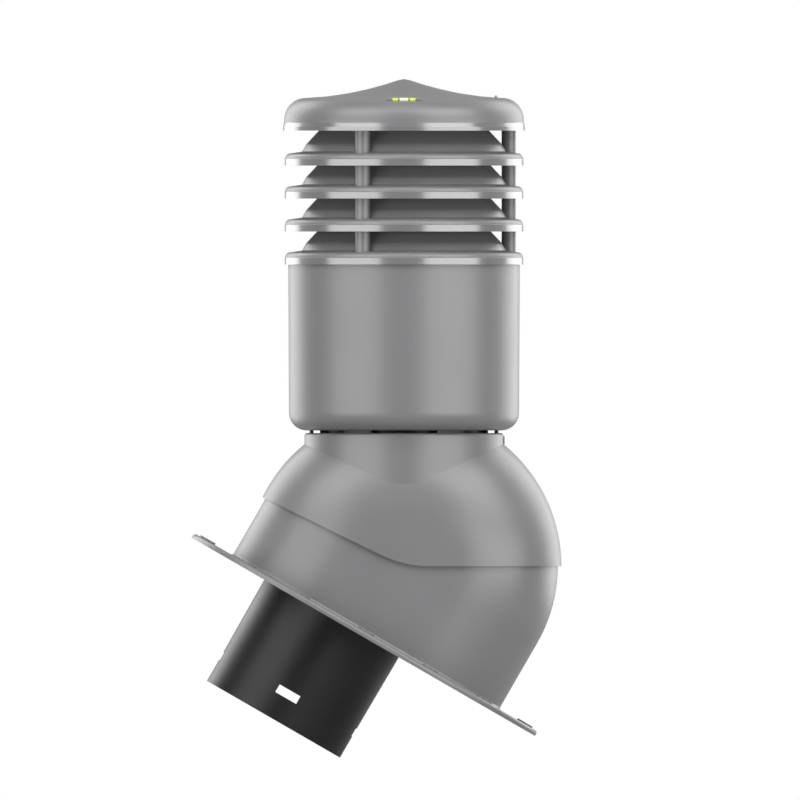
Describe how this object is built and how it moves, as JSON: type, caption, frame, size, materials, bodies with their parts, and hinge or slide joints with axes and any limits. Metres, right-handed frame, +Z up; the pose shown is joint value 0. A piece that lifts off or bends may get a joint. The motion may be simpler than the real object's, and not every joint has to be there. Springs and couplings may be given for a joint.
{
  "type": "roof ventilation chimney",
  "caption": "Insulated roof ventilation chimney with louvred head and cap, on a dome base that tilts to suit the roof pitch.",
  "frame": {"origin": "where the chimney's axis meets the underside of the roof flange", "axes": "+Z up along the chimney, +X down the roof slope, Y level along the roof"},
  "size_m": [0.3608, 0.2818, 0.6617],
  "materials": {
    "grey_plastic": "satin moulded, finely textured",
    "black_plastic": "satin black",
    "seal_rubber": "matt",
    "foam": "beaded foam",
    "zinc_steel": "zinc plated",
    "clear_acrylic": "clear",
    "level_fluid": "yellow-green fluid"
  },
  "bodies": {
    "roof_fitting": {"roof_base": "grey_plastic", "lower_duct": "black_plastic", "plate_screws": "zinc_steel"},
    "chimney_head": {"dome_shell": "grey_plastic", "duct_bell": "black_plastic", "duct_seal": "seal_rubber", "upper_duct": "black_plastic", "insulation_sleeve": "foam", "outer_casing": "grey_plastic", "casing_foot_ring": "black_plastic", "casing_top_ring": "grey_plastic", "louvre_ring_lower": "grey_plastic", "louvre_ring_middle": "grey_plastic", "louvre_ring_upper": "grey_plastic", "hood_cap": "grey_plastic", "tie_rods": "zinc_steel", "tie_rod_nuts": "zinc_steel", "front_level_block": "clear_acrylic", "front_level_vial": "level_fluid", "side_level_block": "clear_acrylic", "side_level_vial": "level_fluid"}
  },
  "joints": [
    {"name": "pitch_tilt", "type": "hinge", "parent": "roof_fitting", "child": "chimney_head", "pos_m": [0, 0, 0.0918], "axis": [0, 1, 0], "range_deg": [0, 25]}
  ]
}
